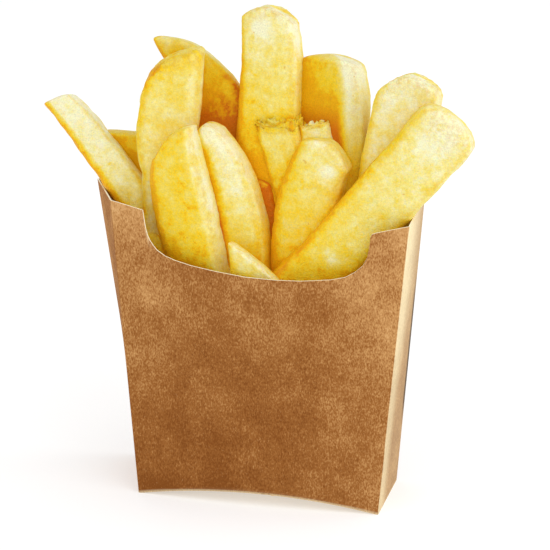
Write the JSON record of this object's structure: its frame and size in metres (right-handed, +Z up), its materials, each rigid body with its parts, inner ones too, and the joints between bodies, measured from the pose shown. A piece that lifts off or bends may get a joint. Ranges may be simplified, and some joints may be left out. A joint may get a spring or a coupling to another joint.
{
  "type": "french fries in a carton",
  "caption": "Thick-cut french fries standing in a flat folded kraft card carton with a scooped front lip.",
  "frame": {"origin": "on the table, under the middle of the whole outline of carton and fries", "axes": "+Z up, -Y out of the scooped front panel, +X to the right seen from the front"},
  "size_m": [0.1342, 0.0379, 0.147],
  "materials": {
    "kraft_card": "matt brown kraft card",
    "fried_potato": "pale yellow fried potato, slightly oily"
  },
  "bodies": {
    "root": {"carton": "kraft_card", "fries": "fried_potato"}
  },
  "joints": []
}
